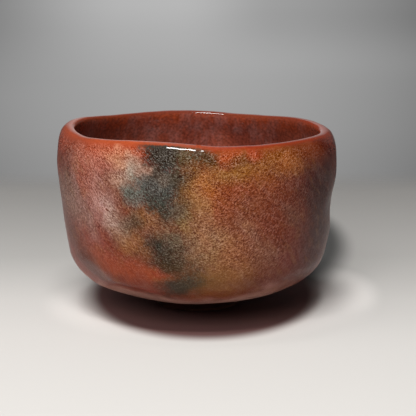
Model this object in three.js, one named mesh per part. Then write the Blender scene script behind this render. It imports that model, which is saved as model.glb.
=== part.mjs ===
// Red raku tea bowl: a hand-pinched, scraped clay body on a low foot ring, under brushed glaze coats.
// Millimetres, +Z up, standing on Z = 0 with the foot's centre on the Z axis. -Y is the front.
import * as THREE from "three";
import { mergeVertices } from "three/addons/utils/BufferGeometryUtils.js";

// Clay body, sizes without glaze
const bowlHeight = 80; // floor to the mean height of the lip
const bellyRadius = 61.4; // the widest place
const bellyDrop = 14.5; // from the lip down to the widest place
const hipInset = 4; // how much narrower than the belly the wall is where it turns under
const hipHeight = 26.5; // floor to where the wall turns under
const hipLean = 0.2; // outward travel of the wall for each millimetre up, at the hip
const hipFullness = 12; // how far the wall's line carries on down before it turns under
const undersideReach = 20; // how far the underside runs out, nearly flat, before it turns up
const undersideRise = 2.2; // how much it climbs on the way
const lipInset = 5.2; // how much narrower than the belly the crest of the lip is
const lipShoulder = 4.2; // how far the crest's rounding reaches outward
const lipRounding = 2.9; // how far it reaches inward
const wallThickness = 4.6; // clay at the belly
const hipThickness = 5.6; // clay where the wall turns under
const innerFullness = 9; // how far the inside of the wall carries on down before it turns into the floor
const floorReach = 15; // how far the floor runs out, nearly flat, before it turns up
const floorThickness = 6.6; // clay between the well of the foot and the inside
const poolRadius = 21; // shallow hollow in the floor, where the last of the tea gathers
const poolDepth = 1.6;

// Foot ring
const footHeight = 6.4; // floor to the seat under the body
const footRadius = 19.6; // outside, at the floor
const footFlare = 1.2; // how much wider the ring is at its seat
const footWidth = 6.2; // of the ring, at the floor
const footDraft = 0.8; // how much wider the well is at the floor than at the seat
const footEdge = 0.7; // rounding beside the bare face that it stands on
const wellRecess = 1.6; // how far the well is dug up past the seat
const bossRadius = 9; // raised boss that the scraper leaves in the middle of the well
const bossHeight = 1.1;

// Glaze coats
const outerGlaze = 0.7;
const lipGlaze = 0.45; // it runs thin over the lip
const innerGlaze = 0.6;
const footGlaze = 0.5;
const lipBand = 3.2; // how far the lip's coat reaches down, on both sides
const wipedBand = 1.4; // bare clay left above the floor, inside and outside the foot ring

// What the hands leave. Each wave has its count of crests round the bowl, its size, and a crest's angle.
const lipWaves = [
  { crests: 1, size: 0.9, angle: 193 },
  { crests: 2, size: 0.18, angle: 5 },
  { crests: 3, size: 0.24, angle: 26 },
  { crests: 4, size: 0.22, angle: 77 },
  { crests: 5, size: 0.48, angle: 29 },
]; // height of the lip, in millimetres
const wallWaves = [
  { crests: 2, size: 0.006, angle: 0 },
  { crests: 3, size: 0.005, angle: 80 },
  { crests: 5, size: 0.0025, angle: 20 },
]; // radius of the wall, as a share of it
const footWaves = [
  { crests: 2, size: 0.012, angle: 35 },
  { crests: 3, size: 0.008, angle: 100 },
]; // radius of the foot, as a share of it
// Finger dents in the wall: the angle of each, its height above the hip, its reach both ways, and its depth
const dents = [
  { angle: -6, above: 21.5, across: 26, up: 14, depth: 1.9 },
  { angle: 200, above: 20, across: 34, up: 22, depth: 0.9 },
  { angle: 292, above: 22, across: 30, up: 16, depth: 0.6 },
  { angle: 58, above: 12, across: 28, up: 20, depth: 0.9 },
  { angle: 118, above: 20, across: 26, up: 18, depth: 0.8 },
];
// Flats scraped round the hip: the compass angle and the tilt that each one faces, and its depth
const scrapes = [
  { facing: 216, tilt: -32, depth: 1.5 },
  { facing: 236, tilt: -60, depth: 2 },
  { facing: 318, tilt: -42, depth: 0.8 },
  { facing: 20, tilt: -36, depth: 1.1 },
  { facing: 75, tilt: -50, depth: 1.2 },
  { facing: 135, tilt: -40, depth: 1.3 },
];
const scrapeEdge = 0.8; // softness of their borders

// Facets
const aroundCount = 56;
const bossRows = 3;
const cornerRows = 2;
const undersideRows = 7;
const wallRows = 4;
const shoulderRows = 2;
const lipRows = 3; // each side of the crest
const innerRows = 3;
const turnRows = 4;
const poolRows = 3;

const bellyHeight = bowlHeight - bellyDrop;
const wallHeight = bellyHeight - hipHeight;
const hipRadius = bellyRadius - hipInset;
const lipRadius = bellyRadius - lipInset;
const innerBellyRadius = bellyRadius - wallThickness;
const innerHipRadius = hipRadius - hipThickness;
const seatRadius = footRadius + footFlare;
const wellFootRadius = footRadius - footWidth;
const wellRadius = wellFootRadius - footDraft;
const wellTop = footHeight + wellRecess;
const floorHeight = wellTop + floorThickness;
const runShare = 0.38; // of a curve's run, that its end keeps its direction for

const radians = THREE.MathUtils.degToRad;
const smooth = THREE.MathUtils.smoothstep;
const blend = THREE.MathUtils.lerp;
const at = (radius, height) => new THREE.Vector2(radius, height);
const curve = (...points) => new THREE.CubicBezierCurve(...points);

// The section of the clay, in the plane of radius and height. It runs from the axis under the bowl out and
// up the outside, over the lip, and down the inside to the axis, so that the air is always on its right.
const hipRun = at(hipLean, 1).multiplyScalar(wallHeight * runShare);
const bellyRun = at(0, wallHeight * runShare);
const shoulderRun = at(0, bellyDrop * (1 - runShare));
const seatEdge = at(seatRadius, footHeight);
const hip = at(hipRadius, hipHeight);
const belly = at(bellyRadius, bellyHeight);
const crest = at(lipRadius, bowlHeight);
const innerBelly = at(innerBellyRadius, bellyHeight);
const innerHip = at(innerHipRadius, hipHeight);
const poolEdge = at(poolRadius, floorHeight);

const boss = curve(
  at(0, wellTop - bossHeight),
  at(bossRadius * runShare, wellTop - bossHeight),
  at(bossRadius * (1 - runShare), wellTop),
  at(bossRadius, wellTop),
);
const underside = curve(
  seatEdge,
  at(seatRadius + undersideReach, footHeight + undersideRise),
  at(-hipLean, -1).multiplyScalar(hipFullness).add(hip),
  hip,
);
const wall = curve(hip, hip.clone().add(hipRun), belly.clone().sub(bellyRun), belly);
const shoulder = curve(
  belly,
  belly.clone().add(shoulderRun),
  at(lipRadius + lipShoulder, bowlHeight),
  crest,
);
const innerLip = curve(
  crest,
  at(lipRadius - lipRounding, bowlHeight),
  innerBelly.clone().add(shoulderRun),
  innerBelly,
);
const innerWall = curve(
  innerBelly,
  innerBelly.clone().sub(bellyRun),
  innerHip.clone().add(hipRun),
  innerHip,
);
const innerTurn = curve(
  innerHip,
  at(-hipLean, -1).multiplyScalar(innerFullness).add(innerHip),
  at(poolRadius + floorReach, floorHeight),
  poolEdge,
);
const pool = curve(
  poolEdge,
  at(poolRadius * (1 - runShare), floorHeight),
  at(poolRadius * runShare, floorHeight - poolDepth),
  at(0, floorHeight - poolDepth),
);

// The share along a curve at which it stands at a height, found by halving.
function shareAtHeight(line, height) {
  const rises = line.getPoint(1).y > line.getPoint(0).y;
  let low = 0;
  let high = 1;
  for (let step = 0; step < 30; step++) {
    const middle = (low + high) / 2;
    if (line.getPoint(middle).y < height === rises) low = middle;
    else high = middle;
  }
  return low;
}

// One ring of the clay's surface: its place in the section, and how far from there its glaze comes out.
const ring = (place, coat = at(0, 0), scraped = false) => ({ place, coat, scraped });

// The rings of a stretch of the section, with the glaze's thickness at its two ends.
function ringsAlong(line, rows, thicknesses = [0, 0], { from = 0, to = 1, scraped = false } = {}) {
  return Array.from({ length: rows + 1 }, (_, row) => {
    const share = blend(from, to, row / rows);
    const along = line.getTangent(share);
    const coat = at(along.y, -along.x).multiplyScalar(blend(...thicknesses, row / rows));
    return ring(line.getPoint(share), coat, scraped);
  });
}

// Joins runs of rings, each of which starts at the last ring of the one before.
const joined = (...runs) => runs.flatMap((run, i) => (i ? run.slice(1) : run));

// Foot: the well, the bare rounded face that the bowl stands on, and the outside of the ring
const wellFoot = at(wellFootRadius, footEdge);
const ringFoot = at(footRadius, footEdge);
const wipedShare = (wipedBand - footEdge) / (footHeight - footEdge);
const wellCorner = ring(at(wellRadius, wellTop), at(-footGlaze, -footGlaze));
const wellSeat = ring(at(wellRadius, footHeight), at(-footGlaze, 0));
const wellEnd = ring(wellFoot.clone().lerp(wellSeat.place, wipedShare), at(-footGlaze / 2, 0));
const ringEnd = ring(ringFoot.clone().lerp(seatEdge, wipedShare), at(footGlaze / 2, 0));
const ringSeat = ring(seatEdge, at(footGlaze, -outerGlaze));
const roundedFoot = [
  new THREE.QuadraticBezierCurve(wellFoot, at(wellFootRadius, 0), at(wellFootRadius + footEdge, 0)),
  new THREE.QuadraticBezierCurve(at(footRadius - footEdge, 0), at(footRadius, 0), ringFoot),
].flatMap((line) => ringsAlong(line, cornerRows));
const wellRings = [...ringsAlong(boss, bossRows, [footGlaze, footGlaze]), wellCorner, wellSeat];

// Outside up to the lip's coat, then the lip, then the inside down to the axis
const outerSeam = shareAtHeight(shoulder, bowlHeight - lipBand);
const innerSeam = shareAtHeight(innerLip, bowlHeight - lipBand);
const outerRings = joined(
  [ringSeat],
  ringsAlong(underside, undersideRows, [outerGlaze, outerGlaze], { scraped: true }),
  ringsAlong(wall, wallRows, [outerGlaze, outerGlaze], { scraped: true }),
  ringsAlong(shoulder, shoulderRows, [outerGlaze, lipGlaze], { to: outerSeam }),
);
const lipRings = joined(
  ringsAlong(shoulder, lipRows, [lipGlaze, lipGlaze], { from: outerSeam }),
  ringsAlong(innerLip, lipRows, [lipGlaze, lipGlaze], { to: innerSeam }),
);
const innerRings = joined(
  ringsAlong(innerLip, shoulderRows, [lipGlaze, innerGlaze], { from: innerSeam }),
  ringsAlong(innerWall, innerRows, [innerGlaze, innerGlaze]),
  ringsAlong(innerTurn, turnRows, [innerGlaze, innerGlaze]),
  ringsAlong(pool, poolRows, [innerGlaze, innerGlaze]),
);

// Sums waves round the bowl at an angle in radians.
const waveAt = (waves, angle) =>
  waves.reduce((sum, wave) => sum + wave.size * Math.cos(wave.crests * (angle - radians(wave.angle))), 0);

// How far the finger dents push the wall in, at an angle in radians and a height.
function dentAt(angle, height) {
  return dents.reduce((sum, dent) => {
    const turn = angle - radians(dent.angle);
    const across = Math.atan2(Math.sin(turn), Math.cos(turn)) / radians(dent.across);
    const up = (height - hipHeight - dent.above) / dent.up;
    return sum + dent.depth * Math.max(0, 1 - across ** 2 - up ** 2) ** 2;
  }, 0);
}

const turned = (out, up, angle) => new THREE.Vector3(out * Math.cos(angle), out * Math.sin(angle), up);

// The plane that each scrape leaves, sunk below the farthest place of the section in the direction it faces
const flats = scrapes.map(({ facing, tilt, depth }) => {
  const away = at(Math.cos(radians(tilt)), Math.sin(radians(tilt)));
  const reach = Math.max(...outerRings.map(({ place }) => place.dot(away)));
  return new THREE.Plane(turned(away.x, away.y, radians(facing)), depth - reach);
});

// How far a point that stands proud of a flat is taken back, with a soft border.
const shaved = (proud) =>
  proud > scrapeEdge ? proud : Math.max(0, proud + scrapeEdge) ** 2 / (4 * scrapeEdge);

// Where a point of the turned section comes to stand on the hand-made bowl.
function formed({ place, scraped }, angle) {
  const wallShare = smooth(place.y, hipHeight, bellyHeight);
  const footShare = 1 - smooth(place.y, footHeight, hipHeight);
  const spread = 1 + wallShare * waveAt(wallWaves, angle) + footShare * waveAt(footWaves, angle);
  const radius = place.x * (spread - dentAt(angle, place.y) / bellyRadius);
  const lift = smooth(place.y, hipHeight, bowlHeight) * waveAt(lipWaves, angle);
  const point = turned(radius, place.y + lift, angle);
  if (!scraped) return point;
  return flats.reduce(
    (kept, flat) => kept.addScaledVector(flat.normal, -shaved(flat.distanceToPoint(kept))),
    point,
  );
}

// The points of a ring round the bowl, on the clay or on the skin of its glaze.
function loopOf(made, glazed) {
  return Array.from({ length: aroundCount }, (_, i) => {
    const angle = (2 * Math.PI * i) / aroundCount;
    const point = formed(made, angle);
    const out = made.place.x ? made.coat.x : 0; // on the axis the glaze stands straight up or down
    return glazed ? point.add(turned(out, made.coat.y, angle)) : point;
  });
}
const clayLoops = (rings) => rings.map((made) => loopOf(made, false));
const skinLoops = (rings) => rings.map((made) => loopOf(made, true));

// The faces between each loop and the next, which face right of the way that the loops run.
function facesAlong(loops) {
  return loops.slice(1).flatMap((next, row) =>
    next.flatMap((d, i) => {
      const neighbour = (i + 1) % aroundCount;
      const [a, b, c] = [loops[row][i], loops[row][neighbour], next[neighbour]];
      return [[a, b, d], [c, d, b]].filter(([p, q, r]) => !p.equals(q) && !q.equals(r) && !r.equals(p));
    }),
  );
}
const facesBack = (loops) => facesAlong(loops).map(([p, q, r]) => [p, r, q]);

// A coat of glaze: its skin, the clay under it, and the strips that close its two ends.
function coatOver(rings) {
  const clay = clayLoops(rings);
  const skin = skinLoops(rings);
  return [
    ...facesAlong(skin),
    ...facesBack(clay),
    ...facesAlong([skin.at(-1), clay.at(-1)]),
    ...facesBack([skin[0], clay[0]]),
  ];
}

function solid(name, faces, material) {
  const corners = faces.flat().flatMap((point) => point.toArray());
  const loose = new THREE.BufferGeometry();
  loose.setAttribute("position", new THREE.Float32BufferAttribute(corners, 3));
  const geometry = mergeVertices(loose);
  geometry.computeVertexNormals();
  const mesh = new THREE.Mesh(geometry, material);
  mesh.name = name;
  return mesh;
}

const finish = (color, roughness) => new THREE.MeshStandardMaterial({ color, roughness, metalness: 0 });
const bareClay = finish("#b98a66", 0.85);
const outerColour = finish("#a3492c", 0.38);
const lipColour = finish("#b4502a", 0.22);
const innerColour = finish("#6b2c1a", 0.18);
const footColour = finish("#9a4f30", 0.45);

const bodyRings = joined([...wellRings, ringSeat], outerRings, lipRings, innerRings);
const footRings = [wellSeat, wellEnd, ...roundedFoot, ringEnd, ringSeat, wellSeat];
const bowl = new THREE.Group();
bowl.add(
  solid("clay_body", facesAlong(clayLoops(bodyRings)), bareClay),
  solid("foot_ring", facesAlong(clayLoops(footRings)), bareClay),
  solid("outer_glaze", coatOver(outerRings), outerColour),
  solid("lip_glaze", coatOver(lipRings), lipColour),
  solid("inner_glaze", coatOver(innerRings), innerColour),
  solid("foot_glaze", coatOver([ringEnd, ringSeat]), footColour),
  solid("foot_well_glaze", coatOver([...wellRings, wellEnd]), footColour),
);
export default bowl;
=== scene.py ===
import math

import bpy
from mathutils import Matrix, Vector


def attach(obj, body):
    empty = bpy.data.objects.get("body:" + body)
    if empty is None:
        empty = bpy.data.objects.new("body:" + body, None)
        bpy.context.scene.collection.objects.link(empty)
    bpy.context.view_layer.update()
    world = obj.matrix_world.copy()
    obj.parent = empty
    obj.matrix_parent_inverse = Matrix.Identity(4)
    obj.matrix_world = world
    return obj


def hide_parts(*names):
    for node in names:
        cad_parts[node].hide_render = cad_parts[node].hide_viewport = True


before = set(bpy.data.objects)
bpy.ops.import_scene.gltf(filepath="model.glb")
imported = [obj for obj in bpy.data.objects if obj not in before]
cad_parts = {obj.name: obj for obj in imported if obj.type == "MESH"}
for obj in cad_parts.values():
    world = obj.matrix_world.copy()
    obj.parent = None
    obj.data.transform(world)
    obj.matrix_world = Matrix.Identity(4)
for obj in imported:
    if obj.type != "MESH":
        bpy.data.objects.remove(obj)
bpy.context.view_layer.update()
print("frame loaded with", len(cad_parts), "nodes")


# Node expressions

class Wire:
    # an output of a node; arithmetic on it adds Math nodes
    def __init__(self, graph, socket):
        self.graph = graph
        self.socket = socket

    def __getitem__(self, name):  # another output of the same node
        return Wire(self.graph, socketOf(self.socket.node.outputs, name))


def arithmetic(operation, reflected):
    def act(self, other):
        values = (other, self) if reflected else (self, other)
        return self.graph.maths(operation, *values)
    return act


for sign, operation in {"add": "ADD", "sub": "SUBTRACT", "mul": "MULTIPLY", "truediv": "DIVIDE"}.items():
    setattr(Wire, f"__{sign}__", arithmetic(operation, False))
    setattr(Wire, f"__r{sign}__", arithmetic(operation, True))


def socketOf(sockets, name):  # by place, by identifier or by name
    if isinstance(name, int):
        return sockets[name]
    named = [socket for socket in sockets if socket.identifier == name]
    return named[0] if named else sockets[name]


class Graph:
    # builds a node tree
    def __init__(self, tree):
        self.tree = tree
        tree.nodes.clear()

    def node(self, kind, settings=None, sockets=None, output=0):
        made = self.tree.nodes.new(kind)
        for name, value in (settings or {}).items():
            if name == "stops":
                self.setStops(made.color_ramp, value)
            else:
                setattr(made, name, value)
        for name, value in (sockets or {}).items():
            socket = socketOf(made.inputs, name)
            if isinstance(value, Wire):
                self.tree.links.new(value.socket, socket)
            else:
                socket.default_value = value
        return Wire(self, socketOf(made.outputs, output)) if len(made.outputs) else None

    def setStops(self, ramp, stops):
        while len(ramp.elements) < len(stops):
            ramp.elements.new(1)
        for element, (place, shade) in zip(ramp.elements, stops):
            element.position = place
            element.color = shade

    def maths(self, operation, *values):
        return self.node("ShaderNodeMath", {"operation": operation}, dict(enumerate(values)))

    def total(self, values):
        result = values[0]
        for value in values[1:]:
            result = result + value
        return result

    def rise(self, value, low, high):  # a soft step from 0 at low to 1 at high
        reach = {"Value": value, "From Min": low, "From Max": high}
        return self.node("ShaderNodeMapRange", {"interpolation_type": "SMOOTHSTEP"}, reach)

    def vectors(self, operation, *values, output="Vector"):
        return self.node("ShaderNodeVectorMath", {"operation": operation}, dict(enumerate(values)), output)

    def scaled(self, vector, share):
        return self.node("ShaderNodeVectorMath", {"operation": "SCALE"}, {"Vector": vector, "Scale": share})

    def vector(self, x=0.0, y=0.0, z=0.0):
        return self.node("ShaderNodeCombineXYZ", None, {"X": x, "Y": y, "Z": z})

    def parts(self, vector):  # its X, Y and Z
        return self.node("ShaderNodeSeparateXYZ", None, {0: vector})

    def colours(self, share, under, over, blend="MIX"):
        sockets = {"Factor_Float": share, "A_Color": under, "B_Color": over}
        settings = {"data_type": "RGBA", "blend_type": blend, "clamp_result": True}
        return self.node("ShaderNodeMix", settings, sockets, "Result_Color")

    def ramp(self, value, stops):  # each stop is a value and the colour there
        first, last = stops[0][0], stops[-1][0]
        places = [((reach - first) / (last - first), shade) for reach, shade in stops]
        share = (value - first) / (last - first)
        return self.node("ShaderNodeValToRGB", {"stops": places}, {"Fac": share}, "Color")

    def noise(self, place, size, detail=0.0, roughness=0.5, seed=0.0, output="Fac"):  # size of one wave
        sockets = {"Vector": place, "Scale": 1 / size, "Detail": detail, "Roughness": roughness, "W": seed}
        return self.node("ShaderNodeTexNoise", {"noise_dimensions": "4D"}, sockets, output)


def colour(text):  # "#rrggbb" as Blender's linear red, green, blue and alpha
    shares = [int(text[i:i + 2], 16) / 255 for i in (1, 3, 5)]
    linear = [s / 12.92 if s <= 0.04045 else ((s + 0.055) / 1.055) ** 2.4 for s in shares]
    return (*linear, 1.0)


# The section of the bowl: millimetres of radius and height, on clay that has no glaze yet

bowl = {
    "height": 80, "bellyRadius": 61.4, "bellyDrop": 14.5,
    "hipInset": 4, "hipHeight": 26.5, "hipLean": 0.2, "hipFullness": 12,
    "undersideReach": 20, "undersideRise": 2.2,
    "lipInset": 5.2, "lipShoulder": 4.2, "lipRounding": 4.4,
    "wallThickness": 4.6, "hipThickness": 5.6, "innerFullness": 9,
    "floorReach": 15, "floorThickness": 6.6, "poolRadius": 21, "poolDepth": 1.6,
    "runShare": 0.38,  # of a curve's run, that its end keeps its direction for
}
foot = {
    "height": 6.4, "radius": 19.6, "flare": 1.2, "width": 6.2, "draft": 0.8, "edge": 0.7,
    "wellRecess": 1.6, "bossRadius": 9, "bossHeight": 1.1,
    "wellFillet": 0.6,  # rounding where the well's wall meets its roof
}
glaze = {
    "outer": 0.7, "lip": 0.45, "inner": 0.6, "foot": 0.5,
    "lipBand": 3.2,  # how far the lip's coat reaches down
    "wipedBand": 1.4,  # bare clay above the floor, inside and outside the foot ring
}
rowStep = 0.95  # millimetres between rows of points along the section
lipRowStep = 0.5

bellyHeight = bowl["height"] - bowl["bellyDrop"]
wallHeight = bellyHeight - bowl["hipHeight"]
hipRadius = bowl["bellyRadius"] - bowl["hipInset"]
lipRadius = bowl["bellyRadius"] - bowl["lipInset"]
seatRadius = foot["radius"] + foot["flare"]
wellFootRadius = foot["radius"] - foot["width"]
wellRadius = wellFootRadius - foot["draft"]
wellTop = foot["height"] + foot["wellRecess"]
floorHeight = wellTop + bowl["floorThickness"]


def at(radius, height):
    return Vector((radius, height))


seatEdge = at(seatRadius, foot["height"])
hip = at(hipRadius, bowl["hipHeight"])
belly = at(bowl["bellyRadius"], bellyHeight)
crest = at(lipRadius, bowl["height"])
innerBelly = belly - at(bowl["wallThickness"], 0)
innerHip = hip - at(bowl["hipThickness"], 0)
poolEdge = at(bowl["poolRadius"], floorHeight)
hipWay = at(bowl["hipLean"], 1)
hipRun = hipWay * wallHeight * bowl["runShare"]
bellyRun = at(0, wallHeight * bowl["runShare"])
shoulderRun = at(0, bowl["bellyDrop"] * (1 - bowl["runShare"]))

underside = (
    seatEdge, seatEdge + at(bowl["undersideReach"], bowl["undersideRise"]),
    hip - hipWay * bowl["hipFullness"], hip,
)
wall = (hip, hip + hipRun, belly - bellyRun, belly)
shoulder = (belly, belly + shoulderRun, crest + at(bowl["lipShoulder"], 0), crest)
innerLip = (crest, crest - at(bowl["lipRounding"], 0), innerBelly + shoulderRun, innerBelly)
innerWall = (innerBelly, innerBelly - bellyRun, innerHip + hipRun, innerHip)
innerTurn = (
    innerHip, innerHip - hipWay * bowl["innerFullness"],
    poolEdge + at(bowl["floorReach"], 0), poolEdge,
)
pool = (
    poolEdge, at(bowl["poolRadius"] * (1 - bowl["runShare"]), floorHeight),
    at(bowl["poolRadius"] * bowl["runShare"], floorHeight - bowl["poolDepth"]),
    at(0, floorHeight - bowl["poolDepth"]),
)
boss = (
    at(0, wellTop - foot["bossHeight"]),
    at(foot["bossRadius"] * bowl["runShare"], wellTop - foot["bossHeight"]),
    at(foot["bossRadius"] * (1 - bowl["runShare"]), wellTop), at(foot["bossRadius"], wellTop),
)


def straight(start, end):
    return (start, start.lerp(end, 1 / 3), start.lerp(end, 2 / 3), end)


def rounded(start, corner, end):  # a curve that a corner pulls towards itself
    return (start, start.lerp(corner, 2 / 3), end.lerp(corner, 2 / 3), end)


def pointOn(line, share):
    a, b, c, d = line
    rest = 1 - share
    return a * rest ** 3 + b * 3 * rest ** 2 * share + c * 3 * rest * share ** 2 + d * share ** 3


def wayOn(line, share):
    a, b, c, d = line
    rest = 1 - share
    way = (b - a) * rest ** 2 + (c - b) * 2 * rest * share + (d - c) * share ** 2
    return way.normalized()


def shareAtHeight(line, height):  # found by halving
    rises = line[3].y > line[0].y
    low, high = 0.0, 1.0
    for halving in range(30):
        middle = (low + high) / 2
        if (pointOn(line, middle).y < height) == rises:
            low = middle
        else:
            high = middle
    return low


def rowsAlong(line, coats=(0, 0), start=0.0, end=1.0, step=rowStep, side=1):
    # each row: its place on the clay, how far from there its glaze comes out, on the right of the travel,
    # and its drop below the crest of the lip, which counts as negative inside the bowl
    length = (pointOn(line, end) - pointOn(line, start)).length
    count = max(2, round(length * 1.1 / step))
    rows = []
    for i in range(count + 1):
        share = start + (end - start) * i / count
        place, way = pointOn(line, share), wayOn(line, share)
        thickness = coats[0] + (coats[1] - coats[0]) * i / count
        rows.append((place, at(way.y, -way.x) * thickness, side * (bowl["height"] - place.y)))
    return rows


def joined(*runs):  # each run starts at the last row of the one before
    return runs[0] + [row for run in runs[1:] for row in run[1:]]


outerSeam = shareAtHeight(shoulder, bowl["height"] - glaze["lipBand"])
innerSeam = shareAtHeight(innerLip, bowl["height"] - glaze["lipBand"])
outerRows = joined(
    rowsAlong(underside, (glaze["outer"],) * 2),
    rowsAlong(wall, (glaze["outer"],) * 2),
    rowsAlong(shoulder, (glaze["outer"], glaze["lip"]), 0, outerSeam, lipRowStep),
)
lipRows = joined(
    rowsAlong(shoulder, (glaze["lip"],) * 2, outerSeam, 1, lipRowStep),
    rowsAlong(innerLip, (glaze["lip"],) * 2, 0, innerSeam, lipRowStep, side=-1),
)
innerRows = joined(
    rowsAlong(innerLip, (glaze["lip"], glaze["inner"]), innerSeam, 1, lipRowStep, side=-1),
    rowsAlong(innerWall, (glaze["inner"],) * 2, side=-1),
    rowsAlong(innerTurn, (glaze["inner"],) * 2, side=-1),
    rowsAlong(pool, (glaze["inner"],) * 2, side=-1),
)
outerRows[0] = (seatEdge, at(glaze["foot"], -glaze["outer"]), outerRows[0][2])  # mitred with the foot's coat

wellSeat = at(wellRadius, foot["height"])
wellFoot = at(wellFootRadius, foot["edge"])
ringFoot = at(foot["radius"], foot["edge"])
wiped = (glaze["wipedBand"] - foot["edge"]) / (foot["height"] - foot["edge"])
wellEnd = wellFoot.lerp(wellSeat, wiped)
ringEnd = ringFoot.lerp(seatEdge, wiped)
fillet = foot["wellFillet"]
wellRows = joined(
    rowsAlong(boss, (glaze["foot"],) * 2),
    rowsAlong(straight(boss[3], at(wellRadius - fillet, wellTop)), (glaze["foot"],) * 2),
    rowsAlong(
        rounded(at(wellRadius - fillet, wellTop), at(wellRadius, wellTop), at(wellRadius, wellTop - fillet)),
        (glaze["foot"],) * 2, step=0.2,
    ),
    rowsAlong(straight(at(wellRadius, wellTop - fillet), wellSeat), (glaze["foot"],) * 2),
)
wellSkinRows = joined(wellRows, rowsAlong(straight(wellSeat, wellEnd), (glaze["foot"], glaze["foot"] / 2)))
footSkinRows = rowsAlong(straight(ringEnd, seatEdge), (glaze["foot"] / 2, glaze["foot"]))
footSkinRows[-1] = outerRows[0]
footRows = joined(
    rowsAlong(straight(wellSeat, wellFoot)),
    rowsAlong(rounded(wellFoot, at(wellFootRadius, 0), at(wellFootRadius + foot["edge"], 0)), step=0.2),
    rowsAlong(straight(at(wellFootRadius + foot["edge"], 0), at(foot["radius"] - foot["edge"], 0))),
    rowsAlong(rounded(at(foot["radius"] - foot["edge"], 0), at(foot["radius"], 0), ringFoot), step=0.2),
    rowsAlong(straight(ringFoot, seatEdge)),
    rowsAlong(straight(seatEdge, wellSeat)),
)
bodyRows = joined(wellRows, rowsAlong(straight(wellSeat, seatEdge)), outerRows, lipRows, innerRows)


# What the hands leave on the section once it is turned: millimetres and degrees

hands = {
    "lipWaves": [(1, 0.9, 193), (2, 0.18, 5), (3, 0.24, 26), (4, 0.22, 77), (5, 0.48, 29)],
    "wallWaves": [(2, 0.006, 0), (3, 0.005, 80), (5, 0.0025, 20)],  # shares of the radius
    "footWaves": [(2, 0.012, 35), (3, 0.008, 100)],
    # finger dents: angle, height above the hip, reach across in degrees, reach up, depth
    "dents": [
        (-6, 21.5, 26, 14, 1.9), (200, 20, 34, 22, 0.9), (292, 22, 30, 16, 0.6),
        (58, 12, 28, 20, 0.9), (118, 20, 26, 18, 0.8),
    ],
    # scraped flats: the compass angle and the tilt that each one faces, and its depth
    "scrapes": [
        (216, -32, 1.5), (236, -60, 2), (318, -42, 0.8), (20, -36, 1.1), (75, -50, 1.2), (135, -40, 1.3),
    ],
    "scrapeEdge": 0.8,
    # unevenness of the pinched wall: size of a wave, how far it stands out, seed
    "broadWave": (21, 0.42, 3.0),
    "fineWave": (6.5, 0.10, 8.0),
    "evenBelow": 10,  # the unevenness fades out from here down to the floor
}
aroundCount = 256  # points round the bowl


def waveAt(graph, waves, angle):
    parts = []
    for crests, size, start in waves:
        turn = (angle - math.radians(start)) * crests
        parts.append(graph.maths("COSINE", turn) * size)
    return graph.total(parts)


def dentAt(graph, angle, height):
    parts = []
    for start, above, across, up, depth in hands["dents"]:
        turn = angle - math.radians(start)
        nearest = graph.maths("ARCTAN2", graph.maths("SINE", turn), graph.maths("COSINE", turn))
        sideways = nearest / math.radians(across)
        upward = (height - (bowl["hipHeight"] + above)) / up
        left = graph.maths("MAXIMUM", 1 - sideways * sideways - upward * upward, 0)
        parts.append(left * left * depth)
    return graph.total(parts)


def scraped(graph, point):
    edge = hands["scrapeEdge"]
    for facing, tilt, depth in hands["scrapes"]:
        away = at(math.cos(math.radians(tilt)), math.sin(math.radians(tilt)))
        reach = max(row[0].dot(away) for row in outerRows)
        turn = math.radians(facing)
        normal = (away.x * math.cos(turn), away.x * math.sin(turn), away.y)
        proud = graph.vectors("DOT_PRODUCT", point, normal, output="Value") + (depth - reach)
        border = graph.maths("MAXIMUM", graph.maths("MINIMUM", proud, edge) + edge, 0)
        taken = border * border / (4 * edge) + graph.maths("MAXIMUM", proud - edge, 0)
        point = graph.vectors("SUBTRACT", point, graph.scaled(normal, taken))
    return point


def formedPoint(graph, given, angle, radius, height):  # turned round the axis, and formed by hand
    wallShare = graph.rise(height, bowl["hipHeight"], bellyHeight)
    footShare = 1 - graph.rise(height, foot["height"], bowl["hipHeight"])
    waves = wallShare * waveAt(graph, hands["wallWaves"], angle)
    waves = waves + footShare * waveAt(graph, hands["footWaves"], angle)
    formedRadius = radius * (waves + 1 - dentAt(graph, angle, height) / bowl["bellyRadius"])
    lift = graph.rise(height, bowl["hipHeight"], bowl["height"]) * waveAt(graph, hands["lipWaves"], angle)
    east, north = graph.maths("COSINE", angle), graph.maths("SINE", angle)
    point = scraped(graph, graph.vector(formedRadius * east, formedRadius * north, height + lift))
    uneven = graph.rise(height, foot["edge"], hands["evenBelow"])
    for label in ("Broad", "Fine"):
        size, depth, seed = (given[f"{label} {value}"] for value in ("Wave", "Depth", "Seed"))
        push = graph.noise(point, size, detail=1.0, seed=seed, output="Color")
        push = graph.scaled(graph.vectors("SUBTRACT", push, (0.5, 0.5, 0.5)), depth * uneven * 2)
        point = graph.vectors("ADD", point, push)
    return point


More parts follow.
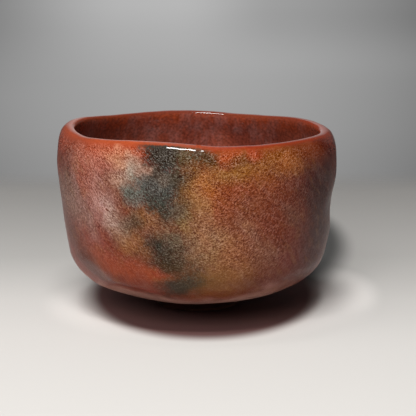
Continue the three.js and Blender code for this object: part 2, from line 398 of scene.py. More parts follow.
def formingTree():
    tree = bpy.data.node_groups.new("handFormed", "GeometryNodeTree")
    face = tree.interface
    face.new_socket("Geometry", in_out="INPUT", socket_type="NodeSocketGeometry")
    for name, kind in {
        "Around": "Int", "Broad Wave": "Float", "Broad Depth": "Float", "Broad Seed": "Float",
        "Fine Wave": "Float", "Fine Depth": "Float", "Fine Seed": "Float", "Finish": "Material",
    }.items():
        face.new_socket(name, in_out="INPUT", socket_type=f"NodeSocket{kind}")
    face.new_socket("Geometry", in_out="OUTPUT", socket_type="NodeSocketGeometry")
    graph = Graph(tree)
    given = graph.node("NodeGroupInput")
    section = given["Geometry"]

    # a grid with one row of points for each point of the section, and one column for each step round the bowl
    counted = {"Geometry": section}
    rows = graph.node("GeometryNodeAttributeDomainSize", {"component": "MESH"}, counted, "Point Count")
    columns = given["Around"] + 1
    grid = graph.node("GeometryNodeMeshGrid", None, {"Vertices X": rows, "Vertices Y": columns}, "Mesh")
    index = graph.node("GeometryNodeInputIndex")
    row = graph.maths("FLOOR", (index + 0.5) / columns)
    angle = (index - row * columns) / given["Around"] * (2 * math.pi)

    def sampled(value, kind):
        sockets = {"Geometry": section, "Value": value, "Index": row}
        return graph.node("GeometryNodeSampleIndex", {"data_type": kind}, sockets)

    def attribute(name, kind):
        return graph.node("GeometryNodeInputNamedAttribute", {"data_type": kind}, {"Name": name}, "Attribute")

    place = graph.parts(sampled(graph.node("GeometryNodeInputPosition"), "FLOAT_VECTOR"))
    coat = graph.parts(sampled(attribute("coat", "FLOAT_VECTOR"), "FLOAT_VECTOR"))
    point = formedPoint(graph, given, angle, place["X"], place["Z"])

    # out to the skin of the glaze, straight up or down on the axis, and from millimetres to metres
    out = coat["X"] * graph.maths("GREATER_THAN", place["X"], 0.001)
    east, north = graph.maths("COSINE", angle), graph.maths("SINE", angle)
    point = graph.vectors("ADD", point, graph.vector(out * east, out * north, coat["Z"]))
    point = graph.scaled(point, 0.001)
    mesh = graph.node("GeometryNodeSetPosition", None, {"Geometry": grid, "Position": point})
    mesh = graph.node("GeometryNodeFlipFaces", None, {"Mesh": mesh})
    for name in ("end", "drop"):
        stored = {"Geometry": mesh, "Name": name, "Value": sampled(attribute(name, "FLOAT"), "FLOAT")}
        settings = {"data_type": "FLOAT", "domain": "POINT"}
        mesh = graph.node("GeometryNodeStoreNamedAttribute", settings, stored)

    # the columns' ends and the rows on the axis are merged, and what is left there without a face is deleted
    mesh = graph.node("GeometryNodeMergeByDistance", None, {"Geometry": mesh, "Distance": 1e-6})
    facesBeside = graph.node("GeometryNodeInputMeshEdgeNeighbors")
    loose = {"Geometry": mesh, "Selection": graph.maths("LESS_THAN", facesBeside, 0.5)}
    mesh = graph.node("GeometryNodeDeleteGeometry", {"domain": "EDGE", "mode": "EDGE_FACE"}, loose)
    soft = graph.maths("LESS_THAN", attribute("end", "FLOAT"), 0.9)
    mesh = graph.node("GeometryNodeSetShadeSmooth", None, {"Geometry": mesh, "Shade Smooth": soft})
    mesh = graph.node("GeometryNodeRealizeInstances", None, {"Geometry": mesh})
    mesh = graph.node("GeometryNodeSetMaterial", None, {"Geometry": mesh, "Material": given["Finish"]})
    graph.node("NodeGroupOutput", None, {"Geometry": mesh})
    return tree


def coatLoop(rows):  # the skin, then the clay side back to its start; the strips at both ends are sharp
    skin = [(place, coat, 0.0, drop) for place, coat, drop in rows]
    clay = [(place, at(0, 0), 0.0, drop) for place, coat, drop in reversed(rows)]
    for side in (skin, clay):
        for i in (0, -1):
            place, coat, end, drop = side[i]
            side[i] = (place, coat, 1.0, drop)
    return skin + clay + skin[:1]


def clayLoop(rows):
    return [(place, at(0, 0), 0.0, drop) for place, coat, drop in rows]


def handFormed(name, loop, finish):
    section = bpy.data.meshes.new(f"{name}Section")
    section.from_pydata([(row[0].x, 0, row[0].y) for row in loop], [], [])
    coats = section.attributes.new("coat", "FLOAT_VECTOR", "POINT")
    coats.data.foreach_set("vector", [share for row in loop for share in (row[1].x, 0, row[1].y)])
    for i, label in ((2, "end"), (3, "drop")):
        section.attributes.new(label, "FLOAT", "POINT").data.foreach_set("value", [row[i] for row in loop])
    piece = bpy.data.objects.new(name, section)
    bpy.context.scene.collection.objects.link(piece)
    modifier = piece.modifiers.new("handFormed", "NODES")
    modifier.node_group = forming
    values = {"Around": aroundCount, "Finish": finish}
    for wave, label in (("broadWave", "Broad"), ("fineWave", "Fine")):
        size, depth, seed = hands[wave]
        values |= {f"{label} Wave": float(size), f"{label} Depth": depth, f"{label} Seed": seed}
    for item in forming.interface.items_tree:
        if item.in_out == "INPUT" and item.name in values:
            modifier[item.identifier] = values[item.name]
    seen = piece.evaluated_get(bpy.context.evaluated_depsgraph_get())
    mesh = bpy.data.meshes.new_from_object(seen)
    piece.modifiers.clear()
    piece.data = mesh
    mesh.name = name
    bpy.data.meshes.remove(section)
    print(name, "has", len(mesh.polygons), "faces")
    return piece


def shareSeamNormals(coats):  # where two coats meet, both shade as one skin
    corners = {}
    for piece in coats:
        mesh = piece.data
        soft = mesh.attributes["end"].data
        for polygon in mesh.polygons:
            if all(soft[vertex].value > 0.9 for vertex in polygon.vertices):
                continue
            for loop, vertex in zip(polygon.loop_indices, polygon.vertices):
                if soft[vertex].value > 0.9:
                    key = tuple(round(share * 1e6) for share in mesh.vertices[vertex].co)
                    corners.setdefault(key, []).append((piece, loop, polygon.normal * polygon.area))
    normals = {piece: [corner.vector.copy() for corner in piece.data.corner_normals] for piece in coats}
    for met in corners.values():
        shared = sum((push for piece, loop, push in met), Vector((0, 0, 0))).normalized()
        for piece, loop, push in met:
            normals[piece][loop] = shared
    for piece in coats:
        piece.data.normals_split_custom_set(normals[piece])


# Glaze finishes: places in millimetres, round the bowl in degrees from +X, -Y being 270

def sectionRadius(height):  # of the outside of the clay
    line = underside if height < bowl["hipHeight"] else wall if height < bellyHeight else shoulder
    return pointOn(line, shareAtHeight(line, height)).x


def finishGraph(name):
    material = bpy.data.materials.new(name)
    material.use_nodes = True
    graph = Graph(material.node_tree)
    place = graph.node("ShaderNodeTexCoord", None, None, "Object")
    return material, graph, graph.scaled(place, 1000)


def surface(graph, sockets):
    shader = graph.node("ShaderNodeBsdfPrincipled", None, sockets, "BSDF")
    graph.node("ShaderNodeOutputMaterial", None, {"Surface": shader})


def bump(graph, relief):  # millimetres
    return graph.node("ShaderNodeBump", None, {"Strength": 1.0, "Distance": 0.001, "Height": relief})


cloudEdge = (0.35, 0.7)  # of the noise, between which the deeper colour comes in


def clouded(graph, broad, look):  # the body's colour, with clouds of a deeper one
    return graph.colours(graph.rise(broad, *cloudEdge), colour(look["body"]), colour(look["deep"]))


def drifted(graph, place, size, reach, seed):  # the place, pushed about by a noise
    push = graph.noise(place, size, detail=2.0, roughness=0.55, seed=seed, output="Color")
    push = graph.vectors("SUBTRACT", push, (0.5, 0.5, 0.5))
    return graph.vectors("ADD", place, graph.scaled(push, 2.0 * reach))


# The wrinkles of a glaze that crawled as it froze: two nets of ridges, whose rows hang lower in the middle
wrinkleNet = {
    "across": 0.8, "upward": 1.35, "sag": 0.014,
    "bendSize": 1.4, "bendReach": 0.3,  # shares of the wrinkles' size
    "layers": [(1.25, 0), (0.95, 3)],  # share of the size, and what is added to the seed
    "ridgeWidth": 0.14,
}


def wrinkles(graph, place, size, seed):  # 0 in the pits, 1 on the ridges
    net = wrinkleNet
    axes = graph.parts(place)
    sagged = axes["Z"] - axes["X"] * axes["X"] * net["sag"]
    drawn = graph.vector(axes["X"] * net["across"], axes["Y"] * net["across"], sagged * net["upward"])
    bent = drifted(graph, drawn, size * net["bendSize"], size * net["bendReach"], seed + 5)
    ridges = []
    for share, step in net["layers"]:
        field = graph.noise(bent, size * share, seed=seed + step)
        ridges.append(graph.rise(graph.maths("ABSOLUTE", field - 0.5), net["ridgeWidth"], 0.0))
    return graph.total(ridges) / len(ridges)


strays = [(15, 8.0, 7.0), (5, 2.2, 9.0)]  # size of a wave, its reach, its seed


def wandering(graph, place):  # so that no mark has an even outline
    for size, reach, seed in strays:
        place = drifted(graph, place, size, reach, seed)
    return place


spotDepth = 22  # millimetres that a spot reaches into and out of the wall


def spotMask(graph, place, spot, grain=None):  # half way up at the spot's edge
    angle, height, wide, tall, tilt, soft, share = spot
    turn = math.radians(angle)
    radius = sectionRadius(height)
    sockets = {
        "Vector": place,
        "Location": (radius * math.cos(turn), radius * math.sin(turn), height),
        "Rotation": (0, math.radians(tilt), turn + math.pi / 2),
        "Scale": (2 * wide, 2 * spotDepth, 2 * tall),
    }
    local = graph.node("ShaderNodeMapping", {"vector_type": "TEXTURE"}, sockets)
    near = graph.node("ShaderNodeTexGradient", {"gradient_type": "SPHERICAL"}, {"Vector": local}, "Fac")
    if grain:
        near = near + grain
    return graph.rise(near, (1 - soft) / 2, (1 + soft) / 2) * share


# Red glaze, outside and lip. Each mark is a colour, and its angle, height, half width, half height,
# clockwise tilt, softness and share.
redGlaze = {
    "body": "#86392a", "deep": "#6c2c20", "broadSize": 24, "fineSize": 0.9,
    "rim": [  # its colour across X
        (-50, "#903c20"), (-40, "#9e4422"), (-25, "#a44622"),
        (5, "#8e3412"), (16, "#882a0a"), (38, "#802a0a"),
    ],
    "rimBehind": "#6c2a18", "rimBack": (5, 35),  # its colour at the back, and where that comes in along Y
    "rimDrop": (9, 3.5),  # the bright rim comes in between these drops below the crest
    "rimShare": 0.8, "rimStray": 10,  # how strong it is, and how far its edge wanders
    "lipDrop": (1.1, 0.4),  # and covers all marks above these
    "lipShare": 0.85, "lipStray": 1.5, "lipSpeckle": 0.8,
    "fires": [  # flame colours, from the first laid down to the last
        ("#a0643a", (60, 60, 26, 18, 0, 0.7, 0.8)),  # back: gold
        ("#885046", (110, 40, 30, 22, 0, 0.7, 0.7)),  # back: mauve
        ("#6f3a2e", (20, 36, 24, 18, 0, 0.7, 0.7)),  # back: dark red
        ("#94642f", (150, 66, 22, 12, 0, 0.7, 0.7)),  # back: ochre
        ("#654436", (205, 59, 11, 17, 30, 0.7, 0.76)),  # dull left side
        ("#8b6759", (211, 52, 9.5, 13.5, -75, 0.6, 0.75)),  # mauve streak
        ("#5d230c", (219, 31, 29.5, 6.5, 20, 0.7, 1)),  # low left red
        ("#59220e", (218, 24, 11, 4.5, 15, 0.3, 0.93)),  # red lens
        ("#ba745f", (224, 71, 12, 5.5, -5, 0.9, 0.66)),  # upper left red
        ("#926b60", (222, 49, 2.5, 12.5, -25, 0.9, 0.61)),  # pale streak
        ("#995441", (222, 64, 3.5, 10, -30, 0.3, 0.92)),  # red streak
        ("#9b7168", (215, 60, 4, 10, -30, 0.7, 0.3)),  # dull streak
        ("#bc8e85", (231, 53, 5.5, 10.5, -30, 0.9, 1)),  # pink haze: partly milky glaze, partly painted sheen where the ridge catches light
        ("#d0b3af", (233, 55, 4, 3, -20, 0.6, 0.83)),  # bright haze: partly milky glaze, partly painted sheen on the ridge
        ("#762a03", (233, 42, 3.5, 10.5, -40, 0.4, 0.76)),  # dark red line
        ("#783703", (236, 56, 5.5, 10.5, -65, 0.8, 0.66)),  # red beside the smoke
        ("#a87f6a", (239, 65, 5.5, 5, 10, 0.8, 0.99)),  # tan by the smoke
        ("#c28968", (240, 74, 8.5, 2.5, 15, 0.9, 0.76)),  # gold peach
        ("#a68f7f", (238, 46, 5.5, 8, -25, 0.5, 0.66)),  # pale lower
        ("#986331", (244, 39, 5, 7, -20, 0.6, 0.71)),  # ochre
        ("#875218", (239, 40, 3, 5, -35, 0.5, 0.47)),  # ochre edge
        ("#82552b", (249, 52, 6, 5, -40, 0.7, 0.83)),  # red brown
        ("#7e512f", (255, 47, 6.5, 7, -30, 0.9, 0.92)),  # warm brown
        ("#99431e", (248, 27, 14, 3, 10, 0.6, 0.78)),  # orange red
        ("#983825", (253, 27, 5, 2, -10, 0.5, 0.7)),  # bright red
        ("#8e3e22", (230, 31, 15, 6, 15, 0.8, 1)),  # red low left
        ("#7c6334", (265, 50, 4.5, 10.5, -10, 0.8, 0.84)),  # olive joint
        ("#6a4a25", (267, 64, 5.5, 10.5, 0, 0.6, 0.93)),  # olive beside the smoke
        ("#b3712f", (275, 68, 6, 9, 5, 0.8, 0.66)),  # gold
        ("#a47b4b", (272, 55, 3.5, 7.5, -5, 0.7, 0.6)),  # light tan
        ("#a75103", (279, 59, 7.5, 7, 0, 0.7, 0.35)),  # orange
        ("#6e6149", (275, 38, 8.5, 8, -30, 0.7, 0.96)),  # grey tan
        ("#ae7852", (271, 40, 3, 4, -20, 0.6, 0.5)),  # pale tan
        ("#6b4f21", (275, 26, 17, 8, -5, 0.9, 0.8)),  # gold brown
        ("#aa6b3c", (281, 39, 10.5, 14.5, -30, 0.9, 0.58)),  # rosy tan
        ("#93622a", (286, 72, 10.5, 4.5, 15, 0.9, 1)),  # gold band
        ("#8b5924", (304, 73, 13, 6.5, -10, 0.8, 0.75)),  # gold top
        ("#b2642a", (308, 72, 6.5, 4.5, -5, 0.6, 0.82)),  # gold blotch
        ("#a04d03", (294, 64, 13, 7.5, 0, 0.9, 0.44)),  # orange right
        ("#854721", (298, 54, 12.5, 8, 0, 0.9, 0.82)),  # rust
        ("#996343", (290, 47, 3, 5.5, -25, 0.7, 0.85)),  # middle bloom
        ("#855d4b", (294, 41, 2, 6, -30, 0.5, 0.53)),  # thin bloom
        ("#82513a", (299, 35, 6, 9, -35, 0.9, 0.93)),  # low bloom
        ("#833a1c", (306, 50, 11.5, 13.5, -5, 0.6, 1)),  # red right
        ("#c16248", (319, 46, 8, 8.5, -25, 0.9, 0.53)),  # rosy bloom
        ("#806652", (311, 48, 3, 7, -45, 0.7, 0.34)),  # pale bloom
        ("#492b10", (308, 21, 18.5, 6.5, -5, 0.9, 0.41)),  # brown low right
        ("#200303", (327, 49, 17.5, 34, -5, 0.9, 0.87)),  # dark far right: dark glaze, deepened with painted shade on the side away from the light
        ("#a3532e", (321, 75, 11.5, 4, 5, 0.6, 0.3)),  # rust far right
        ("#9a8e7f", (246, 69, 5.5, 4.5, 0, 0.9, 1)),  # white grey patch
        ("#a84824", (280.5, 76.2, 4.5, 2.6, 10, 0.7, 0.7)),  # red under the rim
        ("#a84824", (292.5, 76.8, 3.5, 2.2, 5, 0.7, 0.6)),  # red under the rim, further right
        ("#6a3f23", (286, 75, 6.5, 1.5, 0, 0.9, 0.61)),  # brown under the rim
        ("#c4988a", (262, 8, 64, 9, 0, 0.5, 0.85)),  # pale underside: painted reflection of the bright cloth in the glaze
        ("#98796e", (92, 62, 22, 10, -30, 0.8, 0.6)),  # back: haze
        ("#98796e", (165, 45, 8, 18, -30, 0.8, 0.6)),  # back: pale streak
    ],
    "smoke": [  # where the fire touched the glaze
        ("#363029", (256, 79, 10, 6.5, 10, 0.4, 1)),  # smoke top
        ("#454844", (255, 66, 9, 9, 0, 0.3, 0.94)),  # smoke mid
        ("#68594b", (257, 67, 3.5, 3, 0, 0.6, 0.61)),  # smoke pale bit
        ("#422b16", (252, 71, 4, 4.5, 0, 0.5, 0.63)),  # smoke brown bit
        ("#201b03", (253, 58, 5.5, 2.5, 35, 0.7, 0.66)),  # smoke core
        ("#575e56", (244, 60, 5.5, 4, 5, 0.8, 0.94)),  # smoke left lobe
        ("#313c30", (259, 55, 5, 6, -25, 0.9, 0.76)),  # smoke low
        ("#624d3b", (262, 54, 4, 2.5, -30, 0.5, 0.62)),  # smoke tail
        ("#413625", (262, 68, 3, 6.5, -5, 0.6, 0.87)),  # smoke right edge
        ("#50432a", (266, 77, 5.5, 4.5, 0, 0.8, 0.89)),  # smoke olive
        ("#1e3123", (273, 78, 5.5, 3, 20, 0.8, 0.72)),  # smoke tip
        ("#423721", (244, 48, 3.5, 4.5, 0, 0.9, 0.72)),  # left spot
        ("#23271a", (252, 39, 4.5, 4.5, -15, 0.9, 0.95)),  # upper spot
        ("#585742", (260, 39, 4, 6.5, -40, 0.9, 0.75)),  # trail
        ("#192221", (256, 36, 3.5, 2.5, 0, 0.6, 0.52)),  # dark heart of the spots
        ("#392c11", (257, 33, 10.5, 4, 0, 0.8, 0.86)),  # wide spot
        ("#1f2b25", (262, 22, 10, 5.5, -35, 0.7, 0.77)),  # low spot
        ("#a07a68", (248.8, 70.6, 2.2, 3, -15, 0.6, 0.75)),  # gap in the smoke
        ("#3e3a34", (86, 52, 9, 12, -20, 0.5, 0.95)),  # back: smoke
        ("#4a4038", (98, 36, 6, 6, 0, 0.6, 0.85)),  # back: smoke's end
        ("#443a30", (34, 67, 6, 5, 0, 0.6, 0.8)),  # back: small spot
    ],
    "ridgeGrain": 0.1, "fineGrain": 0.4,  # how far wrinkles and grain fray the smoke's edges
    "twist": 0.72,  # degrees that the flame's way turns for each millimetre down
    "mottleSize": (3.0, 1.6),  # across the flame's way, and how many times longer along it
    "mottles": {"X": ("#b49a90", 0.07), "Y": ("#8c5c30", 0.25), "Z": ("#6a2c20", 0.3)},  # haze, ochre, ember
    "mottleEdge": (0.5, 0.75), "mottleDrop": (3, 8),
    "wrinkle": 0.63,  # millimetres from one wrinkle to the next
    "wrinkledDrop": (0.3, 3), "evenDrop": (42, 60), "evenShare": 0.75,  # the wrinkles come in and fade out
    "even": [(224, 26, 24, 13, 0, 0.9, 0.5), (324, 44, 13, 34, 0, 0.9, 0.65)],  # marks where they are faint
    "patchSize": 6, "patchEdge": (0.3, 0.65),
    "patchStrength": (0.72, 0.25),  # of the wrinkles: least, and how much more in patches
    # the ridges' pale tone is partly the glaze's crawl and partly painted glints of light
    "ridgeEdge": (0.5, 1.0), "ridgeTone": 1.5, "ridgePale": 0.14, "pale": "#fff2e6",
    "pitEdge": (0.45, 0.0), "pitTone": (0.36, 0.13, 0.05, 1),
}


def mottled(graph, place, drop, shade):  # clouds of colour, drawn out along the way of the flame
    look = redGlaze
    turn = {"Vector": place, "Angle": graph.parts(place)["Z"] * math.radians(look["twist"])}
    drawn = graph.node("ShaderNodeVectorRotate", {"rotation_type": "Z_AXIS"}, turn)
    across, longer = look["mottleSize"]
    drawn = graph.vectors("MULTIPLY", drawn, (1, 1, 1 / longer))
    mottle = graph.parts(graph.noise(drawn, across, detail=1.0, roughness=0.4, seed=14.0, output="Color"))
    below = graph.rise(drop, *look["mottleDrop"])
    for channel, (tone, most) in look["mottles"].items():
        share = graph.rise(mottle[channel], *look["mottleEdge"]) * below * most
        shade = graph.colours(share, shade, colour(tone))
    return shade


def ridged(graph, place, drop, lines, shade):  # the wrinkles' ridges are paler, partly the glaze's crawl and partly painted glints of light; the pits between them dark
    look = redGlaze
    least, more = look["patchStrength"]
    patchy = graph.rise(graph.noise(place, look["patchSize"], detail=2.0, seed=6.0), *look["patchEdge"])
    strength = graph.rise(drop, *look["wrinkledDrop"]) * (patchy * more + least)
    strength = strength * (1 - graph.rise(drop, *look["evenDrop"]) * look["evenShare"])
    for spot in look["even"]:
        strength = strength * (1 - spotMask(graph, place, spot))
    # painted glints: the ridges are lifted toward pale white, as light catching them
    pale = graph.colours(1.0, shade, (*[look["ridgeTone"]] * 3, 1), "MULTIPLY")
    pale = graph.colours(look["ridgePale"], pale, colour(look["pale"]))
    shade = graph.colours(graph.rise(lines, *look["ridgeEdge"]) * strength, shade, pale)
    dark = graph.colours(1.0, shade, look["pitTone"], "MULTIPLY")
    return graph.colours(graph.rise(lines, *look["pitEdge"]) * strength, shade, dark)


def redShade(graph, place, drop, lines):
    look = redGlaze
    broad = graph.noise(place, look["broadSize"], detail=2.0, seed=1.0)
    fine = graph.noise(place, look["fineSize"], detail=1.0, roughness=0.6, seed=4.0)
    strayed = wandering(graph, place)
    axes = graph.parts(place)
    rimTone = graph.ramp(axes["X"], [(reach, colour(tone)) for reach, tone in look["rim"]])
    rimTone = graph.colours(graph.rise(axes["Y"], *look["rimBack"]), rimTone, colour(look["rimBehind"]))
    rim = graph.rise(drop + (broad - 0.5) * look["rimStray"], *look["rimDrop"])
    shade = graph.colours(rim * look["rimShare"], clouded(graph, broad, look), rimTone)
    for tone, spot in look["fires"]:
        shade = graph.colours(spotMask(graph, strayed, spot), shade, colour(tone))
    shade = mottled(graph, place, drop, shade)
    grain = (lines - 0.5) * look["ridgeGrain"] - (fine - 0.5) * look["fineGrain"]
    for tone, spot in look["smoke"]:
        shade = graph.colours(spotMask(graph, strayed, spot, grain), shade, colour(tone))
    speckled = graph.colours(1.0, rimTone, (fine - 0.5) * look["lipSpeckle"] + 1, "MULTIPLY")
    lip = graph.rise(drop + (fine - 0.5) * look["lipStray"], *look["lipDrop"])
    shade = graph.colours(lip * look["lipShare"], shade, speckled)
    return ridged(graph, place, drop, lines, shade)


innerGlaze = {
    "body": "#864230", "deep": "#6a3024", "broadSize": 16,
    "top": "#963e20", "topDrop": (-8, -3), "topShare": 0.7,  # drops are negative inside
    "lipDrop": (-0.3, -2.0),
    # grey clouds drawn out up and down: partly the glaze's own clouding, partly painted reflection of the
    # light above
    "cloud": "#8a6662", "cloudShare": 0.4, "cloudEdge": (0.4, 0.7),
    "streakSize": (7.0, 11),  # across and along
    "speckle": 1.6, "speckleSize": 1.2,
    "level": (1.2, 0.4),  # painted light: how bright, and how much less towards the sides, away from the light in the middle
    "middle": -5, "sideReach": (5, 50),
}


def innerShade(graph, place, drop):
    look = innerGlaze
    broad = graph.noise(place, look["broadSize"], detail=2.0, seed=11.0)
    # grey clouds drawn out up and down: partly the glaze's own clouding, partly painted reflection of the
    # light above on the inner wall
    across, along = look["streakSize"]
    drawn = graph.vectors("MULTIPLY", place, (1, 1, across / along))
    clouds = graph.noise(drawn, across, detail=3.0, roughness=0.6, seed=12.0)
    clouds = graph.rise(clouds, *look["cloudEdge"]) * look["cloudShare"]
    top = graph.rise(drop, *look["topDrop"]) * look["topShare"]
    shade = graph.colours(top, clouded(graph, broad, look), colour(look["top"]))
    shade = graph.colours(clouds, shade, colour(look["cloud"]))
    # painted light: the far wall is lighter in the middle and darker towards its sides
    aside = graph.maths("ABSOLUTE", graph.parts(place)["X"] - look["middle"])
    level, less = look["level"]
    level = level - graph.rise(aside, *look["sideReach"]) * less
    grain = graph.noise(place, look["speckleSize"], detail=1.0, seed=13.0)
    speckle = (grain - 0.5) * look["speckle"] + 1
    return graph.colours(1.0, shade, speckle * level, "MULTIPLY")


skin = {
    "gloss": {"outerGlaze": 0.15, "lipGlaze": 0.6, "innerGlaze": 0.3},
    "lipRoughness": 0.05, "outerRoughness": 0.3, "innerRoughness": 0.16,
    "outerDrop": (1.5, 8), "innerDrop": (-2.5, -8),  # where the lip's gloss gives way
    "wrinkleDepth": 0.05, "waveSize": 3.2, "waveDepth": 0.10,
    "reliefDrop": (2.5, 5),  # where the wrinkles begin to stand out
    "dull": [(270.4, 79, 1.15, 3, 0, 0.15, 0.9)],  # marks that break the lip's shine
}


def glazeFinish(name, outside, inside):
    material, graph, place = finishGraph(name)
    drop = graph.node("ShaderNodeAttribute", {"attribute_name": "drop"}, None, "Fac")
    lines = wrinkles(graph, place, redGlaze["wrinkle"], seed=2.0)
    if outside:
        shade = redShade(graph, place, drop, lines)
    if inside:
        inner = innerShade(graph, place, drop)
        shade = graph.colours(graph.rise(drop, *innerGlaze["lipDrop"]), shade, inner) if outside else inner
    smooth = skin["lipRoughness"]
    roughness = graph.rise(drop, *skin["outerDrop"]) * (skin["outerRoughness"] - smooth) + smooth
    roughness = roughness + graph.rise(drop, *skin["innerDrop"]) * (skin["innerRoughness"] - smooth)
    for spot in skin["dull"]:
        roughness = roughness + spotMask(graph, place, spot)
    relief = lines * graph.rise(drop, *skin["reliefDrop"]) * skin["wrinkleDepth"]
    relief = relief + graph.noise(place, skin["waveSize"], detail=1.0, seed=16.0) * skin["waveDepth"]
    surface(graph, {
        "Base Color": shade, "Roughness": roughness,
        "Normal": bump(graph, relief), "Specular IOR Level": skin["gloss"][name],
    })
    return material


footGlazeLook = {
    # dark glaze: partly soot, partly painted shade, as the foot stands in the shadow under the bowl
    "body": "#3e1c14", "deep": "#24100b", "broadSize": 9,
    "pale": "#442a20", "paleShare": 0.25, "wrinkle": 1.6,
    "roughness": 0.4, "ridgeShine": 0.1, "relief": 0.04,
}


def footGlazeFinish():
    look = footGlazeLook
    material, graph, place = finishGraph("footGlaze")
    broad = graph.noise(place, look["broadSize"], detail=3.0, roughness=0.55, seed=21.0)
    lines = wrinkles(graph, place, look["wrinkle"], seed=22.0)
    shade = graph.colours(lines * look["paleShare"], clouded(graph, broad, look), colour(look["pale"]))
    surface(graph, {
        "Base Color": shade, "Roughness": look["roughness"] - lines * look["ridgeShine"],
        "Normal": bump(graph, lines * look["relief"]),
    })
    return material


clayLook = {
    # darkened clay: partly smoke of the fire, partly painted shade, as the bare clay stands in the shadow
    # under the bowl
    "body": "#5e3a2b", "deep": "#44291e", "broadSize": 12,
    "grog": "#846350", "grogShare": 0.6, "grogStep": 1.4, "grogEdge": (0.22, 0.12),  # crushed fired clay
    "soot": "#2c1f19", "sootShare": 0.5, "sootEdge": (0.6, 0.75),
    "roughness": 0.85, "grainRoughness": 0.1, "grainSize": 0.5, "relief": 0.12, "grogRelief": 0.5,
}


def clayFinish():
    look = clayLook
    material, graph, place = finishGraph("redClay")
    broad = graph.noise(place, look["broadSize"], detail=3.0, roughness=0.55, seed=31.0)
    cells = {"Vector": place, "Scale": 1 / look["grogStep"], "Randomness": 1.0}
    grains = graph.node("ShaderNodeTexVoronoi", {"feature": "F1"}, cells, "Distance")
    fine = graph.noise(place, look["grainSize"], detail=3.0, roughness=0.6, seed=32.0)
    grog = graph.rise(grains, *look["grogEdge"]) * look["grogShare"]
    shade = graph.colours(grog, clouded(graph, broad, look), colour(look["grog"]))
    soot = graph.rise(broad, *look["sootEdge"]) * look["sootShare"]
    shade = graph.colours(soot, shade, colour(look["soot"]))
    surface(graph, {
        "Base Color": shade, "Roughness": fine * look["grainRoughness"] + look["roughness"],
        "Normal": bump(graph, (fine + grains * look["grogRelief"]) * look["relief"]),
    })
    return material


# The pieces, each on its node
forming = formingTree()
clay = clayFinish()
footFinish = footGlazeFinish()
pieces = {
    "outer_glaze": handFormed("outerGlaze", coatLoop(outerRows), glazeFinish("outerGlaze", True, False)),
    "lip_glaze": handFormed("lipGlaze", coatLoop(lipRows), glazeFinish("lipGlaze", True, True)),
    "inner_glaze": handFormed("innerGlaze", coatLoop(innerRows), glazeFinish("innerGlaze", False, True)),
    "foot_glaze": handFormed("footGlaze", coatLoop(footSkinRows), footFinish),
    "foot_well_glaze": handFormed("footWellGlaze", coatLoop(wellSkinRows), footFinish),
    "foot_ring": handFormed("footRing", clayLoop(footRows), clay),
    "clay_body": handFormed("clayBody", clayLoop(bodyRows), clay),
}
shareSeamNormals([pieces[node] for node in ("outer_glaze", "lip_glaze", "inner_glaze", "foot_glaze")])
for node, piece in pieces.items():
    piece.data.attributes.remove(piece.data.attributes["end"])
    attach(piece, "root")
    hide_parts(node)
print("bowl made in", len(pieces), "pieces")


# Floor, light and camera: metres, and shares of full white

stage = {
    "radius": 1.3, "sides": 96, "drop": 0.0002,
    # how far back from the bowl's axis, and the cloth's grey there, darker towards the back as painted shade
    # of the light falling off
    "cloth": [
        (-0.15, 0.58), (-0.05, 0.55), (0.0, 0.51), (0.08, 0.37),
        (0.15, 0.32), (0.22, 0.28), (0.28, 0.255),
    ],
    "clothTint": (1.0, 0.965, 0.92, 1), "clothRoughness": 0.8, "clothGloss": 0.1,
    "fade": (0.25, 0.34),  # where the cloth gives way to the wall
    # light and shade on the cloth: middle, half sizes, softness, share and tint
    "shades": [
        ((0.006, -0.002), (0.064, 0.052), 0.25, 0.8, (0.93, 0.89, 0.85, 1)),
        ((0.068, 0.018), (0.014, 0.03), 0.5, 0.5, (0.93, 0.89, 0.85, 1)),
        ((0.02, 0.13), (0.062, 0.125), 0.12, 0.85, (0.02, 0.02, 0.02, 1)),
        ((0.003, 0.015), (0.0525, 0.072), 0.09, 0.99, (0.14, 0.07, 0.065, 1)),
    ],
    # the wall's grey by how far up one looks, lighter upwards as painted light; painted shade darkens it to
    # both sides and to its top corners
    "wall": [
        (-0.20, 0.30), (-0.168, 0.33), (-0.14, 0.36), (-0.10, 0.38),
        (-0.058, 0.43), (-0.037, 0.47), (0.1, 0.5),
    ],
    "wallDim": {
        "middle": -0.01, "rate": 9.5, "most": 0.85, "right": (0.1, 0.8), "behind": (0.5, -0.2),
        # how much darker, from where to where across, and up
        "corners": [(0.22, (-0.02, 0.07), (-0.09, -0.04)), (0.27, (-0.06, -0.19), (-0.12, -0.03))],
    },
}


def greyRamp(graph, value, greys):
    return graph.ramp(value, [(reach, (grey, grey, grey, 1)) for reach, grey in greys])


def clothFinish():
    material = bpy.data.materials.new("floor")
    material.use_nodes = True
    graph = Graph(material.node_tree)
    place = graph.node("ShaderNodeTexCoord", None, None, "Object")
    back = graph.parts(place)["Y"]
    shade = graph.colours(1.0, greyRamp(graph, back, stage["cloth"]), stage["clothTint"], "MULTIPLY")
    for middle, size, soft, share, tint in stage["shades"]:
        sockets = {"Vector": place, "Location": (*middle, 0), "Scale": (*size, 1)}
        local = graph.node("ShaderNodeMapping", {"vector_type": "TEXTURE"}, sockets)
        inside = graph.rise(graph.vectors("LENGTH", local, output="Value"), 1 + soft, 1 - soft)
        shade = graph.colours(inside * share, shade, tint)
    cloth = graph.node("ShaderNodeBsdfPrincipled", None, {
        "Base Color": shade, "Roughness": stage["clothRoughness"], "Specular IOR Level": stage["clothGloss"],
    }, "BSDF")
    nothing = graph.node("ShaderNodeBsdfTransparent")
    gone = graph.rise(back, *stage["fade"])
    mixed = graph.node("ShaderNodeMixShader", None, {0: gone, 1: cloth, 2: nothing})
    graph.node("ShaderNodeOutputMaterial", None, {"Surface": mixed})
    return material


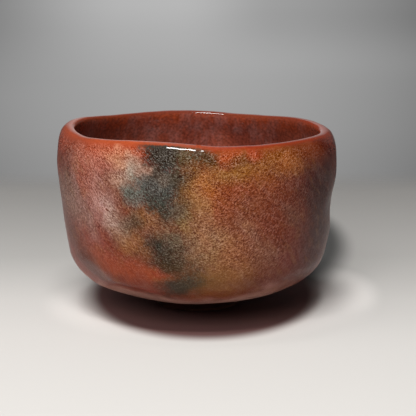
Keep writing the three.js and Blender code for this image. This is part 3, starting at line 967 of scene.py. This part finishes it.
def makeFloor():
    radius, sides = stage["radius"], stage["sides"]
    turns = [2 * math.pi * i / sides for i in range(sides)]
    corners = [(radius * math.cos(turn), radius * math.sin(turn), -stage["drop"]) for turn in turns]
    mesh = bpy.data.meshes.new("floor")
    mesh.from_pydata(corners, [], [range(sides)])
    mesh.materials.append(clothFinish())
    floor = bpy.data.objects.new("floor", mesh)
    bpy.context.scene.collection.objects.link(floor)


def makeLamp(name, place, aim, size, watts, reflected):
    lamp = bpy.data.objects.new(name, bpy.data.lights.new(name, "AREA"))
    lamp.data.shape = "RECTANGLE"
    lamp.data.size, lamp.data.size_y = size
    lamp.data.energy = watts
    lamp.location = place
    lamp.rotation_euler = (Vector(aim) - Vector(place)).to_track_quat("-Z", "Y").to_euler()
    lamp.visible_glossy = reflected
    bpy.context.scene.collection.objects.link(lamp)


light = {
    "lamps": {
        "softbox": {"place": (-0.082, -0.50, 1.18), "size": (0.46, 0.14), "watts": 9, "reflected": True},
        "ceiling": {"place": (-0.12, -0.10, 1.1), "size": (0.3, 0.3), "watts": 5, "reflected": False},
        "window": {"place": (-0.30, -1.10, 0.9), "size": (0.5, 0.7), "watts": 8, "reflected": False},
        "skylight": {"place": (-1.0, -0.47, 1.0), "size": (1.2, 1.0), "watts": 5, "reflected": False},
    },
    "aim": (0, 0, 0.04),
    "world": 0.10,
}


def wallShade(graph, way):  # by the way that one looks
    dims = stage["wallDim"]
    aside = way["X"] - dims["middle"]
    dim = aside * aside * dims["rate"]
    for most, across, high in dims["corners"]:
        dim = dim + graph.rise(way["X"], *across) * graph.rise(way["Z"], *high) * most
    dim = graph.maths("MINIMUM", dim, dims["most"])
    dim = graph.maths("MAXIMUM", dim, graph.rise(way["Y"], *dims["behind"]) * dims["most"])
    dim = graph.maths("MAXIMUM", dim, graph.rise(way["X"], *dims["right"]))
    return graph.colours(dim, greyRamp(graph, way["Z"], stage["wall"]), (0, 0, 0, 1))


def makeWorld():
    world = bpy.data.worlds.new("world")
    bpy.context.scene.world = world
    world.use_nodes = True
    graph = Graph(world.node_tree)
    path = graph.node("ShaderNodeLightPath")
    glossy = graph.maths("MAXIMUM", path["Is Glossy Ray"], path["Is Transmission Ray"])
    seen = graph.maths("MAXIMUM", path["Is Camera Ray"], glossy)
    way = graph.parts(graph.node("ShaderNodeTexCoord", None, None, "Generated"))
    lit = graph.node("ShaderNodeBackground", None, {"Color": (1, 1, 1, 1), "Strength": light["world"]})
    shown = graph.node("ShaderNodeBackground", None, {"Color": wallShade(graph, way), "Strength": 1.0})
    mixed = graph.node("ShaderNodeMixShader", None, {0: seen, 1: lit, 2: shown})
    graph.node("ShaderNodeOutputWorld", None, {"Surface": mixed})


makeFloor()
makeWorld()
for name, lamp in light["lamps"].items():
    makeLamp(name, lamp["place"], light["aim"], lamp["size"], lamp["watts"], lamp["reflected"])

view = {"place": (0, -0.515, 0.1528), "down": 12.033, "right": 0.528, "lens": 100.45}
camera = bpy.data.objects.new("camera", bpy.data.cameras.new("camera"))
camera.location = view["place"]
camera.rotation_euler = (math.radians(90 - view["down"]), 0, math.radians(-view["right"]))
camera.data.lens = view["lens"]
bpy.context.scene.collection.objects.link(camera)
bpy.context.scene.camera = camera
bpy.context.scene.view_settings.view_transform = "Standard"
print("stage, light and camera made")
